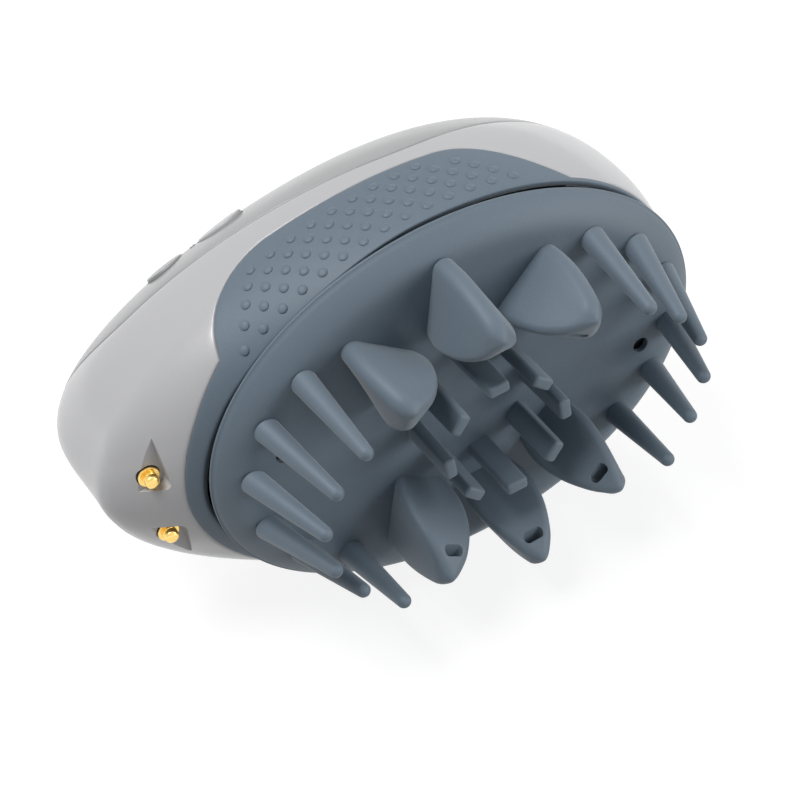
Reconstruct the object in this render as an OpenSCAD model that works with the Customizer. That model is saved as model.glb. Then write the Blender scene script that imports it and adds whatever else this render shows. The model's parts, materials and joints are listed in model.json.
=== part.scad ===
// Electric scalp massager lying on its long side, fingers pointing to -Y.
// Every piece is drawn in the brush frame (X to the tail, Z to the finger tips, brush rim at z = 0)
// and then laid down by lay(). Millimetres.

/* [Shell] */
// Height of the dome above the brush rim
dome_h = 58.8; // [57:0.1:60]
// Half width across the grips
half_w = 46; // [45:0.1:47]
// Reach of the nose from the middle
nose_reach = 81.8; // [80:0.1:83]
// Reach of the tail from the middle
tail_reach = 58.6; // [58:0.1:60]
// How far the nose draws in at the mouth
nose_cut = 27; // [26:0.5:28]
// Wall thickness of the shell
wall = 2.2; // [2:0.1:2.4]
// Thickness of the soft grip moulded over the housing
grip_t = 1.2; // [0.8:0.1:1.4]
// Height of the grip lobes above the rim
lobe_h = 23; // [20:0.5:24]

/* [Brush] */
// Half length of the oval brush rim
rim_a = 60; // [59:0.1:60.5]
// Half width of the oval brush rim
rim_b = 44.6; // [44:0.1:45]
// Height of the flat top of the soft sheet above its rim
top_z = 4.8; // [4.6:0.1:5]
// Thickness of the soft sheet
sheet_t = 1.5; // [1.3:0.1:1.7]
// Radius of the arc of pins about a group's axis
pin_ring = 27.5; // [27.3:0.1:27.6]
// Radius of the ring of blocks
block_ring = 14.2; // [13.8:0.1:14.6]

/* [Fingers] */
// Height of the pins' tip centres above the rim, for those nearest the long axis
pin_z = 26.2; // [24:0.2:27]
// Lean of those pins' tips towards their group's axis
pin_lean = 5.6; // [4:0.1:6]
// Radius of a pin at its foot
pin_foot_r = 2.9; // [2.6:0.1:3]
// Radius of a pin's rounded tip
pin_tip_r = 1.6; // [1.4:0.05:1.9]
// Height of the blocks' tops above the rim
block_z = 21.5; // [19:0.5:23]
// Width of a block along its ring
block_w = 5.3; // [4.6:0.1:5.6]
// Thickness of a block
block_t = 2.9; // [2.6:0.1:3.2]
// Height of a side claw's tip
claw_z = 27.2; // [26.5:0.1:28]
// Height of a middle claw's tip
mid_claw_z = 28.2; // [27.5:0.1:29]

/* [Buttons] */
// How far the button caps stand out of the cover
cap_rise = 0.9; // [0.8:0.1:1.2]
// Travel of a pressed button
cap_travel = 0.6; // [0.5:0.1:0.7]

/* [Drive] */
// Swing of the output shaft to each side, in degrees
swing = 4; // [3:0.5:4]
// Diameter of the motor can
motor_d = 24.4; // [22:0.1:24.8]
// Length of the motor can
motor_l = 20; // [18:0.5:26]
// Length of the battery cell
cell_l = 48; // [35:1:49]
// Diameter of the battery cell
cell_d = 18.2; // [16:0.1:18.6]

/* [Hidden] */
rings = 16;
segments = 40;
side_h = 17.3;
nose_h = 17.4;
tail_h = 14;
side_cut = 1.7;
tail_cut = 1.4;
nose_plan = 1.8;
tail_plan = 2.2;
lean_back = 5.9;
lean_mid = 13.8;
mouth_z = -1.8;
nose_mouth_z = -2.9;
seam_z = -25;
seam_slope = 0.19;
seam_gap = 0.1;
band_z = 4.6;
floor_z = -3;
base_z = -4.6;
base_a = 53;
base_b = 39.8;
deck_top = -5.5;
deck_z = -7.5;
ledge_z = -8.1;
frame_top = -19.5;
frame_z = -21.5;
carrier_z = 0.1;
carrier_top = 2.3;
gear_z = -2.6;
gear_h = 2.2;
fit = 0.05;
gap = 0.3;
fine_m = 0.5;
strong_m = 0.6;
group_x = 24.5;
crank_x = 17;
crank_throw = crank_x * sin(swing);
crank_pin_r = 1.2;
crank_window = [6, 8.8];
motor_back = frame_z - 0.1 - motor_l;
motor_wall = 1.2;
motor_front = 2.4;
core_r = 8;
core_z = motor_back + 3.6;
core_h = 10.5;
plunger_z = -3.9;
membrane_t = 0.7;
cell_at = [-60.6, -12, -21.4];
red_pos = [9.2, 13.5];
motor_pos = [21, 9.4];
idler_x = -12.25;
stem_r = 1.5;
claw_stem_r = 3;
block_stem_r = 1.2;
sheet_in = 3.4;
pin_angles = [14.3, 40.8, 67.5];
pin_rise = [0, 0.2, 1.5];
pin_upright = [0, 0.2, 1.9];
hole_pos = [[-43.4, 9.7], [43.4, -9.7]];
hole_r = 1.9;
stud_pos = [-68.9, 8.3];
stud_r = 1.6;
stud_top = -7.4;
shank_r = 1.2;
pocket_y = 5.5;
pocket_z = -10;
pocket_x = -65.6;
post_pos = [[-5, -13], [33, -13], [-5, 23], [33, 22]];
board_posts = [[-40, 2], [-40, 17], [-18, 2], [-18, 17]];
screw_angles = [25, 90, 155, 205, 270, 335];
foot_z = top_z + 0.15;
stem_back = 7;
stem_room = 0.15;
press_fit = 0.02;
latch_x = 47;
latch_z = -9.3;
block_round = 0.8;
claw_foot = [14.8, 14.7];
claw_tip = [19.1, 20.9];
claw_turn = 55.2;
slot_below = 3.7;
slot_half = 1.4;
slot_r = 1;
slot_deep = 1.6;
mid_foot = [0, 21];
mid_tip = [0, 27.3];
mid_stem = [0, 28];
shoulder = [-36.2, 32.4, -43.3];
lens_r = 0.7;
lens_at = [-0.45, 0, 0];
shoulder_out = [-0.24, 0.80, -0.55];
shoulder_along = [0.911, 0.381, 0.155];
power_at = [-8.3, 0, 0];
mode_at = [7, 0, 0];
power_size = [4.8, 3.8];
mode_size = [5.8, 3.4];
rest_shift = [9.47, -14.6, 46];
claw_slate = [0.33, 0.40, 0.46];
pearl = [0.80, 0.80, 0.81];
slate = [0.36, 0.42, 0.48];

// Frame and shared shapes

module lay() translate(rest_shift) rotate([90, 0, 0]) children();

// Puts a button part on the cover's shoulder: X along the row of buttons, Z out of the cover
module on_shoulder() {
    out = unit(shoulder_out);
    u = unit(shoulder_along - (shoulder_along * out) * out);
    v = cross(out, u);
    multmatrix([[u.x, v.x, out.x, shoulder.x], [u.y, v.y, out.y, shoulder.y],
        [u.z, v.z, out.z, shoulder.z]]) children();
}

// Reach of the shell at height h: drawn in below its widest height, rounded over above it
function reach(h, full, widest, cut, low, round_over) = h < widest
    ? full - cut * pow((widest - h) / widest, low)
    : full * pow(max(0, 1 - pow((h - widest) / (dome_h - widest), round_over)), 1 / round_over);
function nose_at(h) = reach(h, nose_reach, nose_h, nose_cut, 1.6, 4);
function tail_at(h) = reach(h, tail_reach, tail_h, tail_cut, 2, 3.1);
function side_at(h) = reach(h, half_w, side_h, side_cut, 2, 2.26);
function lean_at(h) = lean_mid * h / dome_h * (1 - h / dome_h) - lean_back * pow(h / dome_h, 2);
function unit(v) = v / norm(v);
function power(v, e) = sign(v) * pow(abs(v), e);

// One oval of the shell at height h, drawn in by o all round
function shell_ring(h, o, z) = [for (i = [0 : segments - 1])
    let (a = 360 * i / segments, c = cos(a), s = sin(a), e = 2 / (c < 0 ? nose_plan : tail_plan),
        rx = max(0.4, (c < 0 ? nose_at(h) : tail_at(h)) - o), ry = max(0.4, side_at(h) - o))
    [rx * power(c, e) + lean_at(h), ry * power(s, e), z]];

// Closed solid through a stack of rings, lowest first, with the same count of points
module stack(loops) {
    n = len(loops[0]);
    last = len(loops) - 1;
    points = [for (loop = loops) each loop];
    low_cap = [for (i = [0 : n - 1]) i];
    top_cap = [for (i = [n - 1 : -1 : 0]) last * n + i];
    sides = [for (k = [0 : last - 1], i = [0 : n - 1]) let (j = (i + 1) % n)
        each [[k * n + i, (k + 1) * n + i, (k + 1) * n + j], [k * n + i, (k + 1) * n + j, k * n + j]]];
    polyhedron(points, concat([low_cap], [top_cap], sides));
}

// The whole outer form, drawn in by o, from the mouth up to the top of the dome
module dome(o, below = 0) {
    levels = [for (k = [rings : -1 : 0]) dome_h * sin(89 * k / rings)];
    squeeze = (dome_h - o) / dome_h;
    stack(concat([for (h = levels) shell_ring(h, o, -h * squeeze)],
        below > 0 ? [shell_ring(0, o, below)] : []));
}

module shell_wall(outer, inner) difference() {
    dome(outer);
    dome(inner, 3);
}

function bez(p, t) = p[0] * pow(1 - t, 3) + 3 * p[1] * t * pow(1 - t, 2)
    + 3 * p[2] * t * t * (1 - t) + p[3] * pow(t, 3);
function curve(p, n) = [for (i = [0 : n]) bez(p, i / n)];

// Upper edge of the soft band, seen from the side: low round the nose, rising into the lobe
band_edge = concat([[-100, -band_z + 0.4], [-64.4, -band_z], [-56.7, -5.6]],
    curve([[-47.6, -7.4], [-46, -14.5], [-38, -lobe_h], [-27, -lobe_h]], 8),
    curve([[13, 3 - lobe_h], [22, 3.5 - lobe_h], [28, -10], [36, -2.8]], 8), [[80, -2.8]]);

function seam_at(x) = seam_z - seam_slope * max(0, 8 - x) - 0.1 * max(0, x - 8)
    - 0.02 * pow(max(0, -55 - x), 2);
seam_line = [for (x = [-88, -80, -72, -64, -55, 8, 70]) [x, seam_at(x)]];

// Slab across the whole width whose side view is the given outline
module side_slab(outline) rotate([90, 0, 0]) linear_extrude(120, center = true) polygon(outline);

// Lower edge of the shell, seen from the side: a little higher round the nose
mouth_line = [[100, mouth_z], [-20, mouth_z], [-50, nose_mouth_z], [-100, nose_mouth_z]];

module below_seam(drop) side_slab(concat([[-100, seam_at(-88) + drop]],
    [for (p = seam_line) p + [0, drop]], [[100, seam_at(70) + drop]], mouth_line));
module above_seam(drop) side_slab(concat([[-100, -90], [-100, seam_at(-88) + drop]],
    [for (p = seam_line) p + [0, drop]], [[100, seam_at(70) + drop], [100, -90]]));
module band_zone(rise) side_slab(concat([for (p = band_edge) p + [0, rise]],
    [[100, rise - 2.8]], mouth_line));

function ellipse_pts(a, b, n = 72) = [for (i = [0 : n - 1]) [a * cos(360 * i / n), b * sin(360 * i / n)]];
module oval(a, b, z, h) translate([0, 0, z]) linear_extrude(h) polygon(ellipse_pts(a, b));
module slab(z, h) translate([-100, -60, z]) cube([200, 120, h]);
module pole(p, z, h, r) translate([p.x, p.y, z]) cylinder(h = h, r = r, $fn = 48);

// Straight-flanked tooth centred on angle a; q is half a pitch in degrees
function tooth(r, m, a) = let (q = 90 * m / r)
    [for (s = [[-0.68, -1.2], [-0.19, 0.9], [0.19, 0.9], [0.68, -1.2]])
        (r + s[1] * m) * [cos(a + s[0] * q), sin(a + s[0] * q)]];
module gear(teeth, m, z, h, turn = 0) translate([0, 0, z]) linear_extrude(h)
    polygon([for (k = [0 : teeth - 1]) each tooth(teeth * m / 2, m, 360 * k / teeth + turn)]);
module gear_sector(teeth, m, z, h, facing, ks) translate([0, 0, z]) linear_extrude(h)
    polygon(concat([[0, 0]], [for (k = ks) each tooth(teeth * m / 2, m, facing + 360 * k / teeth)]));
module arc_plate(r_in, r_out, half, z, h) translate([0, 0, z]) linear_extrude(h)
    polygon(concat([for (k = [-12 : 12]) r_out * [cos(half * k / 12), sin(half * k / 12)]],
        [for (k = [12 : -1 : -12]) r_in * [cos(half * k / 12), sin(half * k / 12)]]));

// Shell

module cap(at, size, z, h, grow = 0) translate(at + [0, 0, z]) linear_extrude(h)
    polygon(ellipse_pts(size.x + grow, size.y + grow, 40));

module button_holes() on_shoulder() {
    cap(power_at, power_size, -6, 12, gap);
    cap(mode_at, mode_size, -6, 12, gap);
    translate(lens_at + [0, 0, -6]) cylinder(h = 12, r = lens_r + 0.1, $fn = 24);
}

module upper_cover() lay() color(pearl) difference() {
    intersection() {
        shell_wall(0, wall);
        above_seam(-seam_gap);
    }
    button_holes();
}

// Where the housing stays solid inside: the ledge that carries the deck, and the chin's block
module ledge_and_chin() {
    difference() {
        slab(ledge_z - 3.9, 3.9);
        oval(50, 37, ledge_z - 5, 6);
    }
    translate([-95, -26, -13]) cube([34, 52, 12]);
}

module main_housing() lay() color(pearl) difference() {
    union() {
        difference() {
            intersection() {
                dome(0);
                below_seam(0);
            }
            band_zone(-0.1);
        }
        intersection() {
            dome(grip_t + 0.1);
            band_zone(-0.6);
        }
    }
    difference() {
        dome(wall, 3);
        ledge_and_chin();
    }
    for (side = [-1, 1]) {
        translate([-90, side > 0 ? pocket_y : -pocket_y - 16, pocket_z])
            cube([90 + pocket_x, 16, 12]);
        pole([stud_pos.x, side * stud_pos.y], -20, 12, 2.65);
    }
    for (a = screw_angles) pole(screw_at(a), -13, 6, 1.25);
}

module grip_band() lay() color(slate) intersection() {
    shell_wall(0, grip_t);
    band_zone(0);
}

module cover_gasket() lay() color([0.2, 0.2, 0.22]) intersection() {
    shell_wall(wall + 0.1, wall + 0.9);
    difference() {
        below_seam(-1.2);
        below_seam(1.2);
    }
}

module charge_contacts() lay() color([0.85, 0.65, 0.25]) for (side = [-1, 1])
    translate([stud_pos.x, side * stud_pos.y, 0]) {
        translate([0, 0, -15.4]) cylinder(h = 15.5 + pocket_z, r = shank_r, $fn = 48);
        translate([0, 0, pocket_z]) cylinder(h = stud_top - pocket_z, r = stud_r, $fn = 48);
        translate([0, 0, stud_top]) cylinder(h = 0.6, r1 = stud_r, r2 = 1, $fn = 48);
        translate([0, 0, -16.2]) cylinder(h = 0.8, r = 2.4, $fn = 48);
    }

module contact_seals() lay() color([0.15, 0.15, 0.16]) for (side = [-1, 1])
    translate([stud_pos.x, side * stud_pos.y, -15.2]) difference() {
        cylinder(h = 4.9, r = 2.6, $fn = 48);
        translate([0, 0, -1]) cylinder(h = 8, r = shank_r + fit, $fn = 48);
    }

// Buttons

module button(at, size) on_shoulder() {
    cap(at, size, -3.2, cap_rise + 2.7);
    cap(at, size, cap_rise - 0.6, 0.6, -0.6);
    translate(at + [0, 0, plunger_z]) cylinder(h = 0.8, r = 1.5, $fn = 32);
}

module power_button() lay() color([0.30, 0.33, 0.36]) button(power_at, power_size);
module mode_button() lay() color([0.72, 0.73, 0.75]) button(mode_at, mode_size);

module status_lens() lay() color([0.8, 0.9, 1]) on_shoulder()
    translate(lens_at + [0, 0, -3.2]) cylinder(h = 3.6, r = lens_r, $fn = 24);

module button_membrane() lay() color([0.25, 0.26, 0.28]) on_shoulder()
    translate([-15, -5.5, plunger_z - cap_travel - 0.2 - membrane_t]) cube([30, 11, membrane_t]);

module key_switches() lay() color([0.1, 0.1, 0.1]) on_shoulder() for (at = [power_at, mode_at])
    translate(at) {
        translate([-2.5, -2.5, -7.4]) cube([5, 5, 1]);
        translate([0, 0, -6.5]) cylinder(h = 0.8, r = 1.2, $fn = 24);
    }

module switch_board() lay() color([0.1, 0.35, 0.2]) on_shoulder()
    translate([-15, -5, -8.7]) cube([30, 10, 1.2]);

// Power and control

module circuit_board() lay() color([0.1, 0.35, 0.2]) {
    difference() {
        translate([-54, -1.5, -14.2]) cube([40, 23.5, 1.6]);
        for (p = board_posts) pole(p, -15, 4, 1.0);
    }
    translate([-36, 5, -15.8]) cube([8, 8, 1.65]);
    translate([-25, 7, -17]) cube([5, 8, 2.85]);
    translate([-48, 9, -20]) cylinder(h = 5.85, r = 2.5, $fn = 32);
}

module battery_cell() lay() color([0.2, 0.35, 0.6]) translate(cell_at)
    rotate([0, 90, 0]) {
        cylinder(h = cell_l, r = cell_d / 2, $fn = 64);
        translate([0, 0, cell_l - 0.01]) cylinder(h = 1, r = 2.8, $fn = 32);
    }

module battery_cradle() lay() color([0.85, 0.85, 0.83]) difference() {
    translate([-38, cell_at.y - 8, -18]) cube([24, 16, 18 + deck_z - fit]);
    translate([-70, cell_at.y, cell_at.z]) rotate([0, 90, 0])
        cylinder(h = 80, r = cell_d / 2 + 0.1, $fn = 64);
    translate([-40, cell_at.y - 6, -13]) cube([30, 12, 3.5]);
}

// Drive

module motor() lay() color([0.7, 0.7, 0.72]) translate([motor_pos.x, motor_pos.y, 0]) difference() {
    union() {
        translate([0, 0, motor_back]) cylinder(h = motor_l, r = motor_d / 2, $fn = 64);
        translate([0, 0, frame_z - 0.11]) cylinder(h = 1.7, r = 3.5, $fn = 48);
        translate([0, 0, motor_back - 2]) cylinder(h = 2.1, r = 4, $fn = 48);
    }
    translate([0, 0, motor_back + motor_wall])
        cylinder(h = motor_l - motor_wall - motor_front, r = motor_d / 2 - motor_wall, $fn = 64);
    translate([0, 0, motor_back - 1.4]) cylinder(h = motor_l + 4, r = 1.06, $fn = 32);
    for (s = [-1, 1]) motor_screw_at(s) translate([0, 0, -24.5]) cylinder(h = 6, r = 1.05, $fn = 24);
}

module motor_magnets() lay() color([0.2, 0.2, 0.2]) translate([motor_pos.x, motor_pos.y, 0])
    for (side = [0, 180]) rotate([0, 0, side])
        arc_plate(core_r + 0.7, motor_d / 2 - motor_wall - 0.1, 65, core_z - 1, core_h + 2);

// Three-pole core with a slot between each two poles
module motor_armature() lay() color([0.75, 0.5, 0.3]) translate([motor_pos.x, motor_pos.y, core_z])
    difference() {
        cylinder(h = core_h, r = core_r, $fn = 64);
        for (k = [0 : 2]) rotate([0, 0, 120 * k]) translate([3.6, -1.1, -1])
            cube([core_r, 2.2, core_h + 2]);
        translate([0, 0, -1]) cylinder(h = core_h + 2, r = 1.02, $fn = 32);
    }

module motor_screw_at(s) rotate([0, 0, -23]) translate([8 * s, 0, 0]) children();

module motor_screws() lay() color([0.6, 0.6, 0.6]) translate([motor_pos.x, motor_pos.y, 0])
    for (s = [-1, 1]) motor_screw_at(s) {
        translate([0, 0, -23.9]) cylinder(h = 3.9, r = 1, $fn = 24);
        translate([0, 0, frame_top - 0.75]) cylinder(h = 0.7, r = 1.9, $fn = 24);
    }

module motor_shaft() lay() color([0.7, 0.7, 0.72])
    pole(motor_pos, motor_back - 1.2, -16.7 - motor_back + 1.2, 1);

module motor_pinion() lay() color([0.8, 0.7, 0.4]) translate([motor_pos.x, motor_pos.y, 0])
    difference() {
        gear(10, fine_m, -18.6, 2, pinion_turn());
        translate([0, 0, -20]) cylinder(h = 5, r = 1.02, $fn = 32);
    }

function toward(from, to) = atan2(to.y - from.y, to.x - from.x);
function pinion_turn() = toward(motor_pos, red_pos);
function red_turn() = toward(red_pos, motor_pos) + 180 / 40;
function small_turn() = toward(red_pos, [crank_x, 0]);
function crank_turn() = toward([crank_x, 0], red_pos) + 180 / 40;

module reduction_gear() lay() color([0.9, 0.9, 0.88]) translate([red_pos.x, red_pos.y, 0])
    difference() {
        union() {
            gear(40, fine_m, -18.6, 2, red_turn());
            gear(12, strong_m, -16.7, 3.1, small_turn());
        }
        translate([0, 0, -20]) cylinder(h = 8, r = 1 + fit, $fn = 32);
    }

module reduction_axle() lay() color([0.7, 0.7, 0.72]) pole(red_pos, frame_z + 0.1, 8.4, 1);

module crank_gear() lay() color([0.9, 0.9, 0.88]) translate([crank_x, 0, 0]) difference() {
    union() {
        gear(40, strong_m, -16.2, 2.4, crank_turn());
        translate([0, 0, -19.3]) cylinder(h = 3.2, r = 3, $fn = 48);
        translate([crank_throw, 0, -13.9]) cylinder(h = 3, r = crank_pin_r, $fn = 32);
    }
    translate([0, 0, -20]) cylinder(h = 5.6, r = 1.5 + fit, $fn = 48);
}

module crank_axle() lay() color([0.7, 0.7, 0.72]) pole([crank_x, 0], frame_z + 0.1, 6.8, 1.5);

module gear_frame() lay() color([0.82, 0.82, 0.8]) difference() {
    translate([-10, -27, frame_z]) cube([47, 53, 2]);
    pole([0, 0], frame_z - 1, 4, 4.02);
    pole([crank_x, 0], frame_z - 1, 4, 1.52);
    pole(red_pos, frame_z - 1, 4, 1.02);
    pole(motor_pos, frame_z - 1, 4, 3.55);
    translate([motor_pos.x, motor_pos.y, 0]) for (s = [-1, 1]) motor_screw_at(s) {
        translate([0, 0, frame_z - 1]) cylinder(h = 4, r = 1.1, $fn = 24);
        translate([0, 0, frame_top - 0.8]) cylinder(h = 2, r = 2, $fn = 24);
    }
    for (p = post_pos) {
        pole(p, frame_z - 1, 4, 1.3);
        pole(p, frame_z - 1, 2.25, 2.2);
    }
}

module frame_screws() lay() color([0.6, 0.6, 0.6]) for (p = post_pos) {
    pole(p, frame_z + 0.1, 8, 1.2);
    pole(p, frame_z + 0.05, 1.1, 2.1);
}

module output_shaft() lay() color([0.75, 0.75, 0.78]) {
    pole([0, 0], frame_z + 0.3, 16.6, 3);
    translate([-2.3, -2.3, -4.6]) cube([4.6, 4.6, 6.7]);
    difference() {
        union() {
            pole([0, 0], -13.2, 2.3, 5.8);
            translate([0, -3.5, -13.2]) cube([13, 7, 2.3]);
            translate([11.4, -7.6, -13.2]) cube([11.4, 15.2, 2.3]);
        }
        translate([crank_x - crank_window.x / 2, -crank_window.y / 2, -14])
            cube([crank_window.x, crank_window.y, 4]);
    }
}

module output_bearing() lay() color([0.7, 0.55, 0.3]) difference() {
    pole([0, 0], -10.5, 4.9, 4.98);
    pole([0, 0], -11, 6, 3 + fit);
}

module lower_bearing() lay() color([0.7, 0.55, 0.3]) difference() {
    pole([0, 0], frame_z, 2, 3.98);
    pole([0, 0], frame_z - 1, 4, 3 + fit);
}

module shaft_seal() lay() color([0.12, 0.12, 0.13]) difference() {
    pole([0, 0], deck_top + 0.05, 0.75, 5.9);
    pole([0, 0], deck_top - 1, 3, 3.35);
}

function screw_at(a) = [52.6 * cos(a), 39.4 * sin(a)];

module drive_deck() lay() color([0.22, 0.24, 0.26]) difference() {
    union() {
        intersection() {
            dome(wall + 0.3);
            translate([-58, -60, deck_z]) cube([140, 120, deck_top - deck_z]);
        }
        pole([0, 0], -10.5, 4, 7.4);
        for (p = post_pos) pole(p, frame_top + 0.05, deck_top - frame_top - 1, 2.6);
        for (p = board_posts) pole(p, -12.5, 6, 2);
    }
    pole([0, 0], -12, 8, 5);
    for (p = post_pos) pole(p, frame_top - 1, 8, 1.25);
    for (a = screw_angles) {
        pole(screw_at(a), -9, 5, 1.35);
        pole(screw_at(a), deck_top - 1.3, 3, 2.3);
    }
    for (s = [-1, 1]) translate([s * (latch_x + 0.3) - 1.4, -3.4, -9]) cube([2.8, 6.8, 5]);
}

module deck_gasket() lay() color([0.12, 0.12, 0.13]) difference() {
    intersection() {
        dome(wall + 0.5);
        translate([-57.5, -60, ledge_z + 0.05]) cube([140, 120, deck_z - ledge_z - 0.1]);
    }
    oval(50.2, 37.2, ledge_z - 1, 4);
    for (a = screw_angles) pole(screw_at(a), -9, 5, 1.5);
}

module deck_screws() lay() color([0.6, 0.6, 0.6]) for (a = screw_angles) {
    pole(screw_at(a), -11.6, 5, 1.2);
    pole(screw_at(a), deck_top - 1.25, 1.15, 2.1);
}

// Brush

module brush_base() lay() color([0.3, 0.33, 0.36]) {
    difference() {
        union() {
            oval(base_a, base_b, base_z, floor_z - base_z);
            difference() {
                oval(base_a, base_b, base_z, 4.3);
                oval(base_a - 1.6, base_b - 1.6, floor_z, 6);
            }
            for (s = [-1, 1]) pole([s * group_x, 0], floor_z - 0.5, 5.2, 2.5);
            pole([idler_x, 0], floor_z - 0.5, 2.9, 1.2);
        }
        pole([0, 0], base_z - 1, 4, 7);
        for (p = hole_pos) pole(p, base_z - 1, 4, hole_r + 0.1);
        for (s = [-1, 1]) translate([s * latch_x - 0.7, -3.1, base_z - 1]) cube([1.4, 6.2, 4]);
    }
}

module brush_latches() lay() color([0.7, 0.7, 0.72]) for (s = [-1, 1]) {
    translate([s * latch_x - 0.6, -3, latch_z]) cube([1.2, 6, 6.5]);
    translate([s * latch_x - 2, -3, floor_z + 0.05]) cube([4, 6, 0.8]);
    translate([s * (latch_x + 0.5) - 0.8, -3, latch_z]) cube([1.6, 6, 1]);
}

// Height of the soft sheet's surface at a distance s in from the rim
function swell(s) = top_z * (1 - pow(max(0, 1 - s / 9), 2.2));
function oval_ring(s, z) = [for (i = [0 : 63]) let (a = 360 * i / 64)
    [(rim_a - s) * cos(a), (rim_b - s) * sin(a), z]];

module brush_sheet() lay() color(slate) difference() {
    stack(concat([oval_ring(0.5, -0.8), oval_ring(0, -0.4)],
        [for (s = [0, 0.6, 1.5, 3, 5, 7, 9]) oval_ring(s, swell(s))]));
    stack(concat([oval_ring(sheet_in, -2)],
        [for (s = [sheet_in, 4.5, 6, 7.6, 9]) oval_ring(s, swell(s) - sheet_t)]));
    for (s = [-1, 1], t = [-1, 1]) {
        for (a = pin_angles) pole(pin_at(a, s, t), 0, 9, stem_r + stem_room);
        pole(claw_stem_at(s, t), 0, 9, claw_stem_r + stem_room);
    }
    for (t = [-1, 1]) pole(t * mid_stem, 0, 9, claw_stem_r + stem_room);
    for (k = [0 : 7]) pole(block_at(k), 0, 9, block_stem_r + stem_room);
    for (p = hole_pos) pole(p, 0, 9, hole_r);
}

function pin_at(a, s, t) = [s * (group_x + pin_ring * cos(a)), t * pin_ring * sin(a)];
function claw_stem_at(s, t) = [s * (claw_foot.x + stem_back * cos(claw_turn)),
    t * (claw_foot.y + stem_back * sin(claw_turn))];
function block_at(k) = block_ring * [cos(45 * k), sin(45 * k)];

module centre_carrier() lay() color([0.75, 0.75, 0.73]) difference() {
    union() {
        pole([0, 0], carrier_z, carrier_top - carrier_z, 17.2);
        for (t = [-1, 1]) {
            translate([-5, t > 0 ? 10 : -28, carrier_z]) cube([10, 18, carrier_top - carrier_z]);
            pole(t * mid_stem, carrier_z, carrier_top - carrier_z, 5.2);
        }
        pole([0, 0], -4.4, 4.6, 6.95);
        gear_sector(49, fine_m, gear_z, gear_h, 0, [-5 : 5]);
        gear_sector(33, fine_m, gear_z, gear_h, 180, [-4 : 4]);
    }
    translate([-2.4, -2.4, -6]) cube([4.8, 4.8, 12]);
    for (t = [-1, 1]) pole(t * mid_stem, -1, 5, claw_stem_r + press_fit);
    for (k = [0 : 7]) pole(block_at(k), -1, 5, block_stem_r + press_fit);
}

// Plate of one side group: an open ring about the group's axis, a spoke, a hub and a gear sector
module side_carrier(s, teeth, ks) difference() {
    translate([s * group_x, 0, 0]) rotate([0, 0, s > 0 ? 0 : 180]) {
        arc_plate(18, 29.4, 120, carrier_z, carrier_top - carrier_z);
        translate([0, -3.5, carrier_z]) cube([20, 7, carrier_top - carrier_z]);
        pole([0, 0], gear_z, carrier_top - gear_z, 5);
        gear_sector(teeth, fine_m, gear_z, gear_h, 180, ks);
    }
    pole([s * group_x, 0], gear_z - 1, 8, 2.5 + fit);
    for (t = [-1, 1]) {
        for (a = pin_angles) pole(pin_at(a, s, t), -1, 5, stem_r + press_fit);
        pole(claw_stem_at(s, t), -1, 5, claw_stem_r + press_fit);
    }
}

module left_carrier() lay() color([0.75, 0.75, 0.73]) side_carrier(-1, 33, [-4 : 4]);
module right_carrier() lay() color([0.75, 0.75, 0.73]) side_carrier(1, 49, [-5.5 : 5.5]);

module idler_gear() lay() color([0.9, 0.9, 0.88]) translate([idler_x, 0, 0]) difference() {
    gear(16, fine_m, gear_z, gear_h, 180 / 16);
    translate([0, 0, gear_z - 1]) cylinder(h = 5, r = 1.2 + fit, $fn = 32);
}

// Fingers

module pin(k, s, t) {
    a = pin_angles[k];
    foot = pin_at(a, s, t);
    inward = (pin_upright[k] - pin_lean) * [s * cos(a), t * sin(a)];
    rise = pin_z + pin_rise[k] - foot_z;
    lean = atan2(norm(inward), rise);
    pole(foot, carrier_z, foot_z - carrier_z + 0.5, stem_r);
    difference() {
        translate([foot.x, foot.y, foot_z]) rotate([0, lean, atan2(inward.y, inward.x)])
            translate([0, 0, -1]) {
                cylinder(h = rise / cos(lean) + 1, r1 = pin_foot_r, r2 = pin_tip_r, $fn = 32);
                translate([0, 0, rise / cos(lean) + 1]) sphere(r = pin_tip_r, $fn = 32);
            }
        translate([foot.x - 5, foot.y - 5, foot_z - 3]) cube([10, 10, 3]);
    }
}

module left_pins() lay() color(slate) for (t = [-1, 1], k = [0 : 2]) pin(k, -1, t);
module right_pins() lay() color(slate) for (t = [-1, 1], k = [0 : 2]) pin(k, 1, t);

module centre_blocks() lay() color(slate) for (k = [0 : 7]) {
    tall = block_z - foot_z - block_round;
    pole(block_at(k), carrier_z, foot_z - carrier_z + 0.5, block_stem_r);
    rotate([0, 0, 45 * k]) translate([block_ring, 0, 0]) {
        translate([-block_t / 2, block_round - block_w / 2, foot_z])
            cube([block_t, block_w - 2 * block_round, tall]);
        translate([block_round - block_t / 2, -block_w / 2, foot_z])
            cube([block_t - 2 * block_round, block_w, tall]);
        for (p = [-1, 1], q = [-1, 1])
            translate([p * (block_t / 2 - block_round), q * (block_w / 2 - block_round), foot_z])
                cylinder(h = tall, r = block_round, $fn = 24);
        translate([-block_t / 2 + 0.6, -block_w / 2 + 0.6, block_z - 0.9])
            cube([block_t - 1.2, block_w - 1.2, 0.9]);
    }
}

// Section of a claw: flat face of width w towards the middle, ridge at depth d behind it
function claw_section(w, d, r) = let (f = atan2(d - 2 * r, r - w / 2))
    [for (c = [[-r, w / 2 - r, 0, f], [r - d, 0, f, 360 - f], [-r, r - w / 2, 360 - f, 360]],
        k = [0 : 5]) let (a = c[2] + (c[3] - c[2]) * k / 5) [c.x + r * cos(a), c.y + r * sin(a)]];

function blend3(a, b, c, t) = a * pow(1 - t, 2) + 2 * b * t * (1 - t) + c * t * t;

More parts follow.
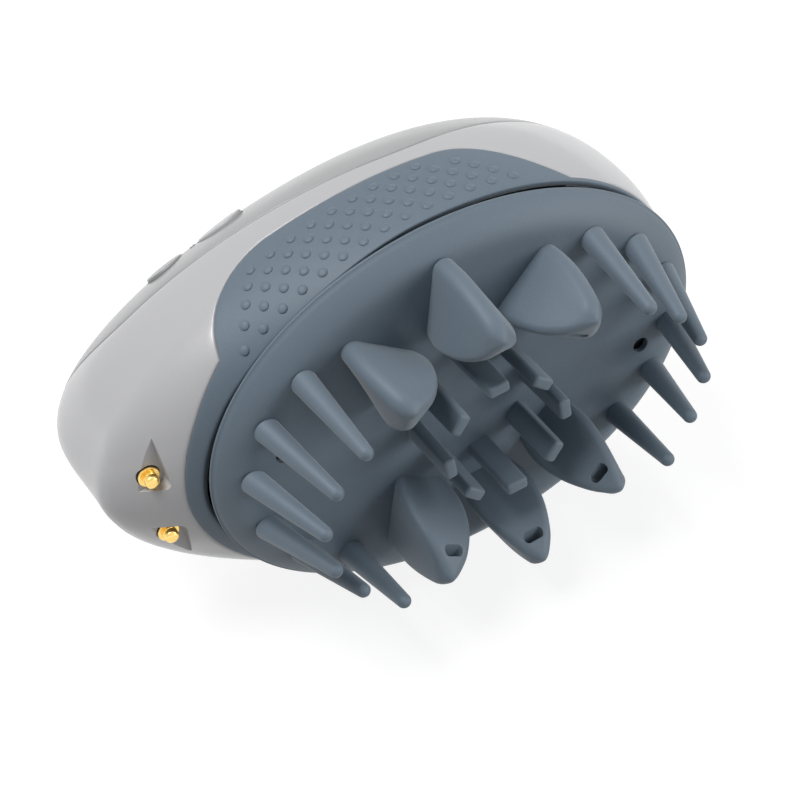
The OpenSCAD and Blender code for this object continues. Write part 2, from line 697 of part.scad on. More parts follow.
// Claw from its foot to its tip; back is the direction that its ridge points in
module claw(foot, tip, high, back, stem) {
    steps = [0, 0.12, 0.24, 0.36, 0.48, 0.6, 0.72, 0.82, 0.9, 0.95, 0.985, 1];
    outward = [cos(back), sin(back)];
    across = [-outward.y, outward.x];
    loops = [for (u = steps) let (k = u > 0.82 ? sqrt(max(0.03, 1 - pow((u - 0.82) / 0.18, 2))) : 1,
            w = blend3(13, 20.5, 5, u) * k, full = blend3(17.6, 18, 6.6, u), d = full * k,
            r = min(2.4, d / 2.4, w / 2.4), bow = 0.3 * u + 0.7 * u * u,
            p = foot + (tip - foot) * bow + outward * full * (1 - k) / 2)
        [for (q = claw_section(w, d, r)) let (v = p - q.x * outward - q.y * across)
            [v.x, v.y, foot_z + (high - foot_z) * u]]];
    difference() {
        union() {
            stack(loops);
            pole(stem, carrier_z, foot_z - carrier_z + 1, claw_stem_r);
        }
        translate([tip.x, tip.y, high - slot_below]) rotate([0, 0, back]) translate([-6, 0, 0]) {
            for (e = [-1, 1]) translate([0, e * slot_half, 0]) rotate([0, 90, 0])
                cylinder(h = slot_deep + 6, r = slot_r, $fn = 24);
            translate([0, -slot_half, -slot_r]) cube([slot_deep + 6, 2 * slot_half, 2 * slot_r]);
        }
    }
}

module side_claw(s, t) lay() color(claw_slate) mirror([s < 0 ? 1 : 0, 0, 0])
    mirror([0, t < 0 ? 1 : 0, 0]) claw(claw_foot, claw_tip, claw_z, claw_turn, claw_stem_at(1, 1));
module middle_claw(t) lay() color(claw_slate) mirror([0, t < 0 ? 1 : 0, 0])
    claw(mid_foot, mid_tip, mid_claw_z, 90, mid_stem);

module upper_left_claw() side_claw(-1, 1);
module upper_right_claw() side_claw(1, 1);
module lower_left_claw() side_claw(-1, -1);
module lower_right_claw() side_claw(1, -1);
module upper_middle_claw() middle_claw(1);
module lower_middle_claw() middle_claw(-1);

upper_cover();
main_housing();
grip_band();
cover_gasket();
charge_contacts();
contact_seals();
power_button();
mode_button();
status_lens();
button_membrane();
key_switches();
switch_board();
circuit_board();
battery_cell();
battery_cradle();
motor();
motor_magnets();
motor_armature();
motor_screws();
motor_shaft();
motor_pinion();
reduction_gear();
reduction_axle();
crank_gear();
crank_axle();
gear_frame();
frame_screws();
output_shaft();
output_bearing();
lower_bearing();
shaft_seal();
drive_deck();
deck_gasket();
deck_screws();
brush_base();
brush_latches();
brush_sheet();
centre_carrier();
left_carrier();
right_carrier();
idler_gear();
centre_blocks();
left_pins();
right_pins();
upper_left_claw();
upper_middle_claw();
upper_right_claw();
lower_left_claw();
lower_middle_claw();
lower_right_claw();
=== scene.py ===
import json
from math import acos, atan2, cos, hypot, pi, radians, sin, sqrt
import bmesh
import bpy
from mathutils import Matrix, Vector


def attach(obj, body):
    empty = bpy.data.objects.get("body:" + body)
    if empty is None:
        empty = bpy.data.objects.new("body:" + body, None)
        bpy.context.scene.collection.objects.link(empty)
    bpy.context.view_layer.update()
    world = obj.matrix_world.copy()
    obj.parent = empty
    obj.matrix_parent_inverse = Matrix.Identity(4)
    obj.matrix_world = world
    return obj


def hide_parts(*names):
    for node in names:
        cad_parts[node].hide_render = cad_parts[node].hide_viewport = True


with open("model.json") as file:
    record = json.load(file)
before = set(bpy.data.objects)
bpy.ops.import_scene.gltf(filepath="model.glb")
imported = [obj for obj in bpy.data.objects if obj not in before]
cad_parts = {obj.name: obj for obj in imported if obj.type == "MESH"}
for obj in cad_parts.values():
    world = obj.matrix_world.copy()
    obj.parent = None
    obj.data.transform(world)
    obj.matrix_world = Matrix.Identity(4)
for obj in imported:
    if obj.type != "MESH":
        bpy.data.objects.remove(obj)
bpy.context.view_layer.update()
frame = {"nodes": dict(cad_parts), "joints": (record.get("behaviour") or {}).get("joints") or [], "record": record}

# The brush is drawn with x to the far end, z to the finger tips and its rim at z = 0, in
# millimetres. layDown turns that onto its side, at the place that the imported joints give.
mm = 0.001
brushJoint = next(j for j in frame["joints"] if j["name"] == "centre_turn")
layDown = (Matrix.Translation(Vector(brushJoint["pos_m"]))
           @ Matrix(((1, 0, 0), (0, 0, -1), (0, 1, 0))).to_4x4()
           @ Matrix.Diagonal((mm, mm, mm, 1)))


class Sock:
    # a shader socket that can stand in a Python expression
    def __init__(self, tree, out=None):
        self.tree = tree
        self.out = out

    def node(self, kind, settings, inputs, out=0):
        made = self.tree.nodes.new(kind)
        for key, value in settings.items():
            if key == "stops":
                ramp = made.color_ramp
                for stop, (place, shade) in zip((ramp.elements[0], ramp.elements[1]), value):
                    stop.position = place
                    stop.color = (shade, shade, shade, 1)
            else:
                setattr(made, key, value)
        for key, value in inputs.items():
            if isinstance(value, Sock):
                self.tree.links.new(value.out, made.inputs[key])
            else:
                made.inputs[key].default_value = value
        return Sock(self.tree, made.outputs[out])

    def math(self, operation, a, b):
        return self.node("ShaderNodeMath", {"operation": operation}, {0: a, 1: b})

    def __add__(self, other):
        return self.math("ADD", self, other)

    def __radd__(self, other):
        return self.math("ADD", other, self)

    def __sub__(self, other):
        return self.math("SUBTRACT", self, other)

    def __rsub__(self, other):
        return self.math("SUBTRACT", other, self)

    def __mul__(self, other):
        return self.math("MULTIPLY", self, other)

    def __rmul__(self, other):
        return self.math("MULTIPLY", other, self)

    def noise(self, scale, detail=3.0, rough=0.5):
        return self.node("ShaderNodeTexNoise", {},
                         {"Vector": self, "Scale": scale, "Detail": detail, "Roughness": rough})

    def cells(self, scale):
        return self.node("ShaderNodeTexVoronoi", {}, {"Vector": self, "Scale": scale})

    def ramp(self, low, high):
        return self.node("ShaderNodeValToRGB", {"stops": (low, high)}, {"Fac": self})

    def mix(self, first, second):
        return self.node("ShaderNodeMix", {"data_type": "RGBA"}, {0: self, 6: first, 7: second}, 2)

    def bump(self, strength, distance):
        return self.node("ShaderNodeBump", {},
                         {"Height": self, "Strength": strength, "Distance": distance})


def newMaterial(name, build):
    mat = bpy.data.materials.new(name)
    mat.use_nodes = True
    tree = mat.node_tree
    bsdf = tree.nodes["Principled BSDF"]
    place = Sock(tree).node("ShaderNodeTexCoord", {}, {}, "Object")
    for key, value in build(place).items():
        if isinstance(value, Sock):
            tree.links.new(value.out, bsdf.inputs[key])
        else:
            bsdf.inputs[key].default_value = value
    return mat


def shade(colour, factor):
    return (colour[0] * factor, colour[1] * factor, colour[2] * factor, 1)


# Pearl plastic: fine pale flakes under a clear gloss, a trace of orange peel
def pearl(colour, roughness, coat):
    def build(place):
        flakes = place.cells(5200).ramp((0.05, 1), (0.32, 0))
        cloud = place.noise(22, 2)
        tone = cloud.mix(shade(colour, 0.965), shade(colour, 1.02))
        return {"Base Color": (flakes * 0.35).mix(tone, shade(colour, 1.16)),
                "Roughness": place.noise(90, 4) * 0.08 + roughness,
                "Metallic": 0.0, "Coat Weight": coat, "Coat Roughness": 0.12,
                "Normal": (place.noise(260, 3) + flakes * 0.15).bump(0.12, 0.0004)}
    return build


# Soft elastomer: matt, with a powdery bloom and a very fine moulded grain
def elastomer(colour, roughness):
    def build(place):
        cloud = place.noise(35, 5, 0.6)
        tone = cloud.mix(shade(colour, 0.93), shade(colour, 1.07))
        bloom = place.noise(900, 3).ramp((0.55, 0), (0.78, 1))
        return {"Base Color": (bloom * 0.18).mix(tone, shade(colour, 1.3)),
                "Roughness": cloud * 0.12 + roughness,
                "Sheen Weight": 0.25, "Sheen Roughness": 0.5,
                "Normal": (place.noise(2600, 4) + place.noise(300, 3) * 0.6).bump(0.22, 0.00025)}
    return build


def plainPlastic(colour, roughness):
    def build(place):
        cloud = place.noise(60, 4)
        return {"Base Color": cloud.mix(shade(colour, 0.9), shade(colour, 1.08)),
                "Roughness": cloud * 0.15 + roughness,
                "Normal": place.noise(1800, 3).bump(0.2, 0.0002)}
    return build


def metal(colour, roughness, grain):
    def build(place):
        streaks = place.node("ShaderNodeMapping", {}, {"Vector": place, "Scale": (1, 1, 14)})
        brushed = streaks.noise(grain, 3)
        return {"Base Color": brushed.mix(shade(colour, 0.86), shade(colour, 1.06)),
                "Metallic": 1.0, "Roughness": brushed * 0.18 + roughness,
                "Normal": brushed.bump(0.12, 0.0001)}
    return build


def clearLens(place):
    return {"Base Color": place.noise(400, 2).mix((0.72, 0.78, 0.82, 1), (0.85, 0.9, 0.92, 1)),
            "Roughness": place.noise(300, 2) * 0.1 + 0.08, "Transmission Weight": 0.5, "IOR": 1.49}


def circuitGreen(place):
    tracks = place.cells(420).ramp((0.28, 0), (0.34, 1))
    return {"Base Color": (tracks * 0.4).mix((0.02, 0.12, 0.05, 1), (0.04, 0.25, 0.1, 1)),
            "Roughness": place.noise(200, 3) * 0.2 + 0.3, "Normal": tracks.bump(0.3, 0.0001)}


slateTone = (0.132, 0.178, 0.224)
finishes = {
    "pearl_housing": newMaterial("pearlHousing", pearl((0.54, 0.542, 0.556), 0.3, 0.5)),
    "grey_cover": newMaterial("pearlCover", pearl((0.40, 0.402, 0.41), 0.36, 0.4)),
    "slate_rubber": newMaterial("slateElastomer", elastomer(slateTone, 0.5)),
    "black_rubber": newMaterial("blackRubber", elastomer((0.02, 0.02, 0.022), 0.6)),
    "gold_plate": newMaterial("goldPlate", metal((0.95, 0.66, 0.22), 0.14, 500)),
    "grey_button": newMaterial("greyKey", pearl((0.30, 0.305, 0.31), 0.36, 0.35)),
    "pale_button": newMaterial("paleKey", pearl((0.46, 0.465, 0.475), 0.34, 0.4)),
    "clear_lens": newMaterial("clearLightGuide", clearLens),
    "switch_black": newMaterial("switchBlack", plainPlastic((0.02, 0.02, 0.02), 0.5)),
    "green_board": newMaterial("circuitGreen", circuitGreen),
    "cell_wrap": newMaterial("cellWrap", plainPlastic((0.03, 0.09, 0.22), 0.3)),
    "inner_plastic": newMaterial("innerPlastic", plainPlastic((0.5, 0.5, 0.47), 0.5)),
    "motor_steel": newMaterial("motorSteel", metal((0.55, 0.55, 0.56), 0.3, 300)),
    "screw_steel": newMaterial("screwSteel", metal((0.5, 0.5, 0.52), 0.32, 600)),
    "pinion_brass": newMaterial("turnedBrass", metal((0.78, 0.56, 0.25), 0.28, 600)),
    "gear_plastic": newMaterial("gearPlastic", plainPlastic((0.72, 0.70, 0.64), 0.45)),
    # Near-black inner plastic: the inner parts seen through the gap under the brush's rim are this dark partly as
    # their own colour and partly as painted shade for that gap
    "dark_plastic": newMaterial("darkPlasticAndPaintedShade", plainPlastic((0.022, 0.026, 0.03), 0.5))}

for part in frame["record"]["subparts"]:
    cadMesh = frame["nodes"][part["node"]].data
    cadMesh.materials.clear()
    cadMesh.materials.append(finishes[part["material_slot"]])
print("materials done")


# A finished piece: turned onto its side, named, finished, and riding on its body
def makePiece(bm, name, body, slotName, nodes, sharpAngle=None):
    bmesh.ops.transform(bm, matrix=layDown, verts=bm.verts)
    mesh = bpy.data.meshes.new(name)
    bm.to_mesh(mesh)
    bm.free()
    piece = bpy.data.objects.new(name, mesh)
    bpy.context.scene.collection.objects.link(piece)
    mesh.materials.append(finishes[slotName])
    mesh.shade_smooth()
    if sharpAngle:
        mesh.set_sharp_from_angle(angle=radians(sharpAngle))
    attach(piece, body)
    if nodes:
        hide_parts(*nodes)
    return piece


# Adds a shape to a larger one, at a place of its own
def addTo(bm, shape, place=None):
    if place:
        bmesh.ops.transform(shape, matrix=place, verts=shape.verts)
    mesh = bpy.data.meshes.new("shape")
    shape.to_mesh(mesh)
    shape.free()
    bm.from_mesh(mesh)
    bpy.data.meshes.remove(mesh)


# A grid bent into a closed wall: place(column, row) gives each corner's point
def wrappedGrid(bm, columns, rows, place, closeRows=True):
    fresh = bmesh.ops.create_grid(bm, x_segments=columns, y_segments=rows, size=1)["verts"]
    for vert in fresh:
        column = round((vert.co.x + 1) / 2 * columns) % columns
        row = round((vert.co.y + 1) / 2 * rows)
        vert.co = place(column, row % rows if closeRows else row)
    bmesh.ops.remove_doubles(bm, verts=bm.verts, dist=0.0005)
    loose = [e for e in bm.edges if not e.link_faces]
    bmesh.ops.delete(bm, geom=loose, context="EDGES")
    bmesh.ops.recalc_face_normals(bm, faces=bm.faces)


def cutWith(bm, cutter):
    holder = bpy.data.objects.new("holder", bpy.data.meshes.new("holder"))
    tool = bpy.data.objects.new("tool", bpy.data.meshes.new("tool"))
    for owner, source in ((holder, bm), (tool, cutter)):
        source.to_mesh(owner.data)
        bpy.context.scene.collection.objects.link(owner)
    cut = holder.modifiers.new("cut", "BOOLEAN")
    cut.operation = "DIFFERENCE"
    cut.solver = "EXACT"
    cut.object = tool
    bpy.context.view_layer.update()
    result = holder.evaluated_get(bpy.context.evaluated_depsgraph_get()).to_mesh()
    bm.clear()
    bm.from_mesh(result)
    bmesh.ops.remove_doubles(bm, verts=bm.verts, dist=0.0002)
    cutter.free()
    for owner in (holder, tool):
        data = owner.data
        bpy.data.objects.remove(owner)
        bpy.data.meshes.remove(data)


shellForm = {"domeHeight": 58.8, "halfWidth": 46.0, "noseReach": 81.8, "tailReach": 58.6,
             "noseCut": 27.0, "sideCut": 1.7, "tailCut": 1.4, "noseWidest": 17.4,
             "sideWidest": 17.3, "tailWidest": 14.0, "nosePlan": 1.8, "tailPlan": 2.2,
             "noseCurve": (1.6, 4), "sideCurve": (2, 2.26), "tailCurve": (2, 3.1),
             "leanBack": 5.9, "leanMid": 13.8, "wall": 2.2, "grip": 1.2, "edgeRound": 0.28,
             "lip": 1.8, "noseLip": 2.9, "lipFrom": -20, "lipOver": 30, "lobeHeight": 23.0,
             "seamGap": 0.2, "seamHeight": 25, "seamLowAt": 8, "seamTurn": 6.0,
             "noseClimb": 0.19, "tailClimb": 0.1, "noseBend": 0.02, "noseBendFrom": -55,
             "columns": 112, "closest": 0.006, "bandRows": 16, "housingRows": 20,
             "coverRows": 40, "liningRows": 16, "crown": 2.6}


# Reach of one side of the shell at a height: drawn in below its widest, rounded over above it
def reach(height, full, widest, cut, curve):
    below, above = curve
    if height < widest:
        return full - cut * ((widest - height) / widest) ** below
    top = (height - widest) / (shellForm["domeHeight"] - widest)
    return full * max(0.0, 1 - top ** above) ** (1 / above)


def power(value, exponent):
    return (1 if value >= 0 else -1) * abs(value) ** exponent


def leanAt(height):
    up = height / shellForm["domeHeight"]
    return shellForm["leanMid"] * up * (1 - up) - shellForm["leanBack"] * up * up


def reachX(height, towardNose):
    form = shellForm
    if towardNose:
        return reach(height, form["noseReach"], form["noseWidest"], form["noseCut"],
                     form["noseCurve"])
    return reach(height, form["tailReach"], form["tailWidest"], form["tailCut"],
                 form["tailCurve"])


# Point of the shell at an angle round it and a height above the rim, drawn in by inset
def shellPoint(angle, height, inset=0.0):
    form = shellForm
    c, s = cos(angle), sin(angle)
    plan = 2 / (form["nosePlan"] if c < 0 else form["tailPlan"])
    side = reach(height, form["halfWidth"], form["sideWidest"], form["sideCut"],
                 form["sideCurve"])
    x = max(0.0, reachX(height, c < 0) - inset) * power(c, plan) + leanAt(height)
    y = max(0.0, side - inset) * power(s, plan)
    return Vector((x, y, -height * (form["domeHeight"] - inset) / form["domeHeight"]))


# Angle round the shell at which it reaches x
def angleAt(x, height):
    flat = x - leanAt(height)
    c = max(-1.0, min(1.0, flat / reachX(height, flat < 0)))
    plan = shellForm["nosePlan"] if c < 0 else shellForm["tailPlan"]
    return acos(power(c, plan / 2))


def bezier(points, steps):
    curve = []
    for k in range(steps + 1):
        t = k / steps
        weights = ((1 - t) ** 3, 3 * t * (1 - t) ** 2, 3 * t * t * (1 - t), t ** 3)
        curve.append((sum(w * p[0] for w, p in zip(weights, points)),
                      sum(w * p[1] for w, p in zip(weights, points))))
    return curve


# Upper edge of the soft band, seen from the side: low round the nose, rising into the lobe
lobe = shellForm["lobeHeight"]
bandEdge = ([(-100, 4.2), (-64.4, 4.6), (-56.7, 5.6)]
            + bezier([(-47.6, 7.4), (-46, 14.5), (-38, lobe), (-27, lobe)], 24)
            + bezier([(13, lobe - 3), (22, lobe - 3.5), (28, 10), (36, 2.8)], 20) + [(80, 2.8)])


def heightOnEdge(x):
    for (x0, h0), (x1, h1) in zip(bandEdge, bandEdge[1:]):
        if x <= x1:
            return h0 + (h1 - h0) * (x - x0) / (x1 - x0)
    return bandEdge[-1][1]


# The seam is lowest near the middle and climbs both ways, with the turn rounded off
def heightOnSeam(x):
    form = shellForm
    past = form["seamLowAt"] - x
    toNose = (past + hypot(past, form["seamTurn"])) / 2
    toTail = toNose - past
    return (form["seamHeight"] + form["noseClimb"] * toNose + form["tailClimb"] * toTail
            + form["noseBend"] * max(0, form["noseBendFrom"] - x) ** 2)


# Lower edge of the shell: drawn back from the brush round the nose
def heightOnLip(x):
    form = shellForm
    share = max(0.0, min(1.0, (form["lipFrom"] - x) / form["lipOver"]))
    return form["lip"] + (form["noseLip"] - form["lip"]) * share


# Height at which the shell meets an edge line, found by halving
def meetHeight(angle, edge):
    low, high = 1.0, 55.0
    for _ in range(40):
        middle = (low + high) / 2
        if edge(shellPoint(angle, middle).x) > middle:
            low = middle
        else:
            high = middle
    return low


# Columns round the shell: even ones, and closer ones where the lobe's edge is steep
even = [pi * k / shellForm["columns"] for k in range(shellForm["columns"] + 1)]
close = [angleAt(x, h) for x, h in bandEdge[1:-1]]
half = []
for angle in sorted(even + close):
    if not half or angle - half[-1] > shellForm["closest"]:
        half.append(angle)
half[-1] = pi
columnAngles = half + [2 * pi - angle for angle in reversed(half[1:-1])]
bandTop = [meetHeight(angle, heightOnEdge) for angle in columnAngles]
seamTop = [meetHeight(angle, heightOnSeam) for angle in columnAngles]


roundTurns = [radians(a) for a in (0, 22.5, 45, 67.5, 90)]
liningShares = (0.8, 0.6, 0.4, 0.22, 0.1)


# Rows of a wall's section: (share of the height, turn of the edge, depth of the edge or None)
def wallRows(middle):
    rows = [(0, -cos(a), 1 - sin(a)) for a in roundTurns]
    rows += [(k / middle, 0, 0) for k in range(1, middle)]
    rows += [(1, cos(a), 1 - sin(a)) for a in reversed(roundTurns)]
    rows += [(1, 1, None)] + [(share, 0, None) for share in liningShares]
    return rows + [(0, -1, None)]


def shellWall(bm, lows, highs, innerAt, middle):
    rows = wallRows(middle)

    def place(column, row):
        share, turn, depth = rows[row]
        low, high = lows[column], highs[column]
        edge = min(shellForm["edgeRound"], (high - low) / 3)
        height = low + edge + (high - low - 2 * edge) * share + edge * turn
        angle = columnAngles[column]
        return innerAt(angle, height) if depth is None else shellPoint(angle, height, edge * depth)
    wrappedGrid(bm, len(columnAngles), len(rows), place)


gap = shellForm["seamGap"]
lips = [meetHeight(angle, heightOnLip) for angle in columnAngles]
bm = bmesh.new()
shellWall(bm, lips, [h - gap / 2 for h in bandTop],
          lambda angle, height: shellPoint(angle, height, shellForm["grip"]),
          shellForm["bandRows"])
makePiece(bm, "gripBand", "housing", "slate_rubber", ["grip_band"])

# The nose is solid low down, where two notches make room for the charging studs
studForm = {"x": -68.9, "y": 8.3, "radius": 1.6, "foot": -15.4, "tip": -6.8, "tipRound": 0.75,
            "grooveDeep": 0.14, "groove": (2.0, 1.9, 1.6, 1.5), "collar": 2.45,
            "collarTop": -9.3, "collarThick": 0.5, "collarRound": 0.15,
            "solidTo": 13.0, "solidWide": 26.0, "solidX": -61.0,
            "notchX": -65.6, "notchSide": 5.5, "notchSize": (40.0, 16.0, 12.0),
            "notchFloor": -10.0, "notchRound": 1.6, "bore": 2.65, "boreDepth": 7.0,
            "boreMiddle": -12.0}


def noseInner(angle, height):
    form = studForm
    outer, inner = shellPoint(angle, height), shellPoint(angle, height, shellForm["wall"])
    if height < form["solidTo"] and abs(outer.y) < form["solidWide"] and outer.x < form["solidX"]:
        return Vector((max(inner.x, form["solidX"]), inner.y, outer.z))
    return inner


def cutNotches(bm):
    form = studForm
    for side in (-1, 1):
        notch = bmesh.new()
        long, wide, deep = form["notchSize"]
        made = bmesh.ops.create_cube(notch, size=1)["verts"]
        bmesh.ops.scale(notch, verts=made, vec=(long, wide, deep))
        middle = Vector((form["notchX"] - long / 2, side * (form["notchSide"] + wide / 2),
                         form["notchFloor"] + deep / 2))
        bmesh.ops.translate(notch, verts=made, vec=middle)
        inner = [e for e in notch.edges
                 if all(v.co.x > middle.x and v.co.y * side < middle.y * side for v in e.verts)]
        bmesh.ops.bevel(notch, geom=inner, offset=form["notchRound"], offset_type="OFFSET",
                        segments=6, profile=0.5, affect="EDGES", material=-1)
        cutWith(bm, notch)
        bore = bmesh.new()
        bmesh.ops.create_cone(bore, cap_ends=True, segments=48, radius1=form["bore"],
                              radius2=form["bore"], depth=form["boreDepth"])
        bmesh.ops.translate(bore, verts=bore.verts,
                            vec=(form["x"], side * form["y"], form["boreMiddle"]))
        cutWith(bm, bore)


bm = bmesh.new()
shellWall(bm, [h + gap / 2 for h in bandTop], [h - gap for h in seamTop], noseInner,
          shellForm["housingRows"])
cutNotches(bm)
makePiece(bm, "sideHousing", "housing", "pearl_housing", ["main_housing"], 32)


# The cover closes over the top: its rows run from the seam to the crown and back inside
def coverWall(bm):
    form = shellForm
    outer, lining, crown = form["coverRows"], form["liningRows"], form["crown"]
    rows = [("edge", 1 - cos(a), 1 - sin(a)) for a in roundTurns]
    rows += [("out", k / outer, 0) for k in range(1, outer + 1)]
    rows += [("in", k / lining, 0) for k in range(lining, -1, -1)]

    def place(column, row):
        kind, first, second = rows[row]
        angle = columnAngles[column]
        low = seamTop[column] + gap
        if kind == "edge":
            return shellPoint(angle, low + form["edgeRound"] * first, form["edgeRound"] * second)
        start = low + (form["edgeRound"] if kind == "out" else 0)
        widest = form["noseWidest"]
        rise = (start - widest) / (form["domeHeight"] - widest)
        turn = acos(sqrt(1 - rise ** crown)) if rise < 1 else pi / 2
        turn += (pi / 2 - turn) * first
        height = widest + (form["domeHeight"] - widest) * sin(turn) ** (2 / crown)
        if first == 1:
            height = form["domeHeight"]
        return shellPoint(angle, height, 0 if kind == "out" else form["wall"])
    wrappedGrid(bm, len(columnAngles), len(rows), place)


# The keys' row on the cover's shoulder
keyForm = {"centre": Vector((-36.2, 32.4, -43.3)), "out": Vector((-0.24, 0.80, -0.55)),
           "along": Vector((0.911, 0.381, 0.155)), "rise": 0.55, "edge": 0.5, "foot": -3.2,
           "dish": ((1.2, 0.02), (1.8, 0.1), (2.6, 0.15)), "room": 0.3,
           "powerAt": -8.3, "powerSize": (4.8, 3.8), "modeAt": 7.0, "modeSize": (5.8, 3.4),
           "lightAt": -0.45, "lightRadius": 0.8, "wellDepth": 14}


def shoulderFrame(shift):
    out = keyForm["out"].normalized()
    along = (keyForm["along"] - keyForm["along"].dot(out) * out).normalized()
    across = out.cross(along)
    turn = Matrix((along, across, out)).transposed().to_4x4()
    return Matrix.Translation(keyForm["centre"]) @ turn @ Matrix.Translation((shift, 0, 0))


def keyOpenings():
    form = keyForm
    light = (form["lightRadius"] - form["room"],) * 2
    cutter = bmesh.new()
    for at, size in ((form["powerAt"], form["powerSize"]), (form["modeAt"], form["modeSize"]),
                     (form["lightAt"], light)):
        well = bmesh.new()
        bmesh.ops.create_cone(well, cap_ends=True, segments=72, radius1=1, radius2=1,
                              depth=form["wellDepth"])
        grow = Matrix.Diagonal((size[0] + form["room"], size[1] + form["room"], 1, 1))
        addTo(cutter, well, shoulderFrame(at) @ grow)
    return cutter


bm = bmesh.new()
coverWall(bm)
cutWith(bm, keyOpenings())
makePiece(bm, "topCover", "housing", "grey_cover", ["upper_cover"], 32)
print("shell done", len(columnAngles), "columns")


# Raised dots on the grip lobes, in rows that step sideways
dotForm = {"first": (-28.0, 17.4), "step": 5.1, "rowRise": 3.1, "rowShift": 2.75, "rows": 5,
           "before": 6, "after": 16, "radius": 1.15, "height": 0.42, "margin": 4.4,
           "lowest": 4.0}


def clearOfEdge(x, height):
    return min(hypot(x - px, height - ph) for px, ph in bandEdge[2:-1]) > dotForm["margin"]


def addDot(bm, x, height, side):
    angle = angleAt(x, height) * side
    centre = shellPoint(angle, height)
    along = shellPoint(angle + 0.01, height) - shellPoint(angle - 0.01, height)
    up = shellPoint(angle, height + 0.3) - shellPoint(angle, height - 0.3)
    out = along.cross(up).normalized()
    if out.y * side < 0:
        out = -out
    flat = Matrix.Diagonal((dotForm["radius"], dotForm["radius"], dotForm["height"], 1))
    turn = out.to_track_quat("Z", "Y").to_matrix().to_4x4()
    dot = bmesh.new()
    bmesh.ops.create_uvsphere(dot, u_segments=16, v_segments=10, radius=1)
    addTo(bm, dot, Matrix.Translation(centre) @ turn @ flat)


bm = bmesh.new()
for side in (-1, 1):
    for row in range(dotForm["rows"]):
        height = dotForm["first"][1] - dotForm["rowRise"] * row
        shift = (dotForm["rowShift"] * row) % dotForm["step"]
        for k in range(-dotForm["before"], dotForm["after"]):
            x = dotForm["first"][0] + shift + dotForm["step"] * k
            if heightOnEdge(x) > height > dotForm["lowest"] and clearOfEdge(x, height):
                addDot(bm, x, height, side)
makePiece(bm, "gripDots", "housing", "slate_rubber", [])
print("grip dots done")


# A turned shape from its profile of (radius, height)
def spun(profile, steps=40):
    shape = bmesh.new()
    verts = [shape.verts.new((r, 0, z)) for r, z in profile]
    edges = [shape.edges.new(pair) for pair in zip(verts, verts[1:])]
    bmesh.ops.spin(shape, geom=verts + edges, axis=(0, 0, 1), cent=(0, 0, 0), angle=2 * pi,
                   steps=steps, use_merge=True)
    bmesh.ops.remove_doubles(shape, verts=shape.verts, dist=0.0005)
    bmesh.ops.recalc_face_normals(shape, faces=shape.faces)
    return shape


# Radius and height along a stud: shank, collar on the notch's floor, groove, rounded tip
def studProfile():
    form = studForm
    r, foot, tip, cap = form["radius"], form["foot"], form["tip"], form["tipRound"]
    collar, top, soft = form["collar"], form["collarTop"], form["collarRound"]
    under = top - form["collarThick"]
    profile = [(0, foot), (r, foot), (r, under), (collar, under), (collar, top - soft),
               (collar - soft, top), (r, top)]
    profile += [(r - deep, tip - down) for down, deep
                in zip(form["groove"], (0, form["grooveDeep"], form["grooveDeep"], 0))]
    profile += [(r, tip - cap)]
    profile += [(r * cos(radians(a)), tip - cap + cap * sin(radians(a)))
                for a in range(10, 90, 10)]
    return profile + [(0, tip)]


bm = bmesh.new()
for side in (-1, 1):
    addTo(bm, spun(studProfile()), Matrix.Translation((studForm["x"], side * studForm["y"], 0)))
makePiece(bm, "chargingStuds", "housing", "gold_plate", ["charge_contacts"], 40)


# An oval button drawn up through a profile of (inset, height)
def ovalCap(bm, size, profile):
    bmesh.ops.create_circle(bm, cap_ends=False, segments=72, radius=1)
    ring = bm.edges[:]
    start = profile[0]
    bmesh.ops.transform(bm, matrix=Matrix.Diagonal((size[0] - start[0], size[1] - start[0], 1, 1)),
                        verts=bm.verts)
    bmesh.ops.translate(bm, verts=bm.verts, vec=(0, 0, start[1]))
    bmesh.ops.contextual_create(bm, geom=ring)
    last = start
    for inset, z in profile[1:]:
        made = bmesh.ops.extrude_edge_only(bm, edges=ring)["geom"]
        verts = [g for g in made if isinstance(g, bmesh.types.BMVert)]
        ring = [g for g in made if isinstance(g, bmesh.types.BMEdge)
                and all(v in verts for v in g.verts)]
        scale = Matrix.Diagonal(((size[0] - inset) / (size[0] - last[0]),
                                 (size[1] - inset) / (size[1] - last[0]), 1, 1))
        bmesh.ops.transform(bm, matrix=scale, verts=verts)
        bmesh.ops.translate(bm, verts=verts, vec=(0, 0, z - last[1]))
        last = (inset, z)
    bmesh.ops.contextual_create(bm, geom=ring)
    bmesh.ops.recalc_face_normals(bm, faces=bm.faces)


def addKey(name, body, slotName, node, at, size):
    rise, edge = keyForm["rise"], keyForm["edge"]
    profile = [(0, keyForm["foot"]), (0, rise - edge)]
    profile += [(edge - edge * cos(radians(a)), rise - edge + edge * sin(radians(a)))
                for a in range(15, 91, 15)]
    profile += [(inset, rise - drop) for inset, drop in keyForm["dish"]]
    bm = bmesh.new()
    ovalCap(bm, size, profile)
    bmesh.ops.transform(bm, matrix=shoulderFrame(at), verts=bm.verts)
    makePiece(bm, name, body, slotName, [node], 35)


addKey("powerKey", "power_key", "grey_button", "power_button", keyForm["powerAt"],
       keyForm["powerSize"])
addKey("modeKey", "mode_key", "pale_button", "mode_button", keyForm["modeAt"], keyForm["modeSize"])
print("studs and keys done")


# The lip is the sheet's rounded rim, as (inset, height)
sheetForm = {"rimA": 60.0, "rimB": 44.6, "top": 4.8, "thick": 1.5, "domed": 9.0, "fullness": 2.2,
             "under": 3.4, "underTop": 1.6, "lip": (
                 (0.75, -0.8), (0.5, -0.76), (0.25, -0.65), (0.08, -0.45), (0.0, -0.2),
                 (0.05, 0.02), (0.16, 0.14), (0.34, 0.2), (0.52, 0.3)),
             "columns": 192, "holes": ((-43.4, 9.7), (43.4, -9.7)), "holeRadius": 1.9}


def swell(inset):
    form = sheetForm
    return form["top"] * (1 - max(0.0, 1 - inset / form["domed"]) ** form["fullness"])


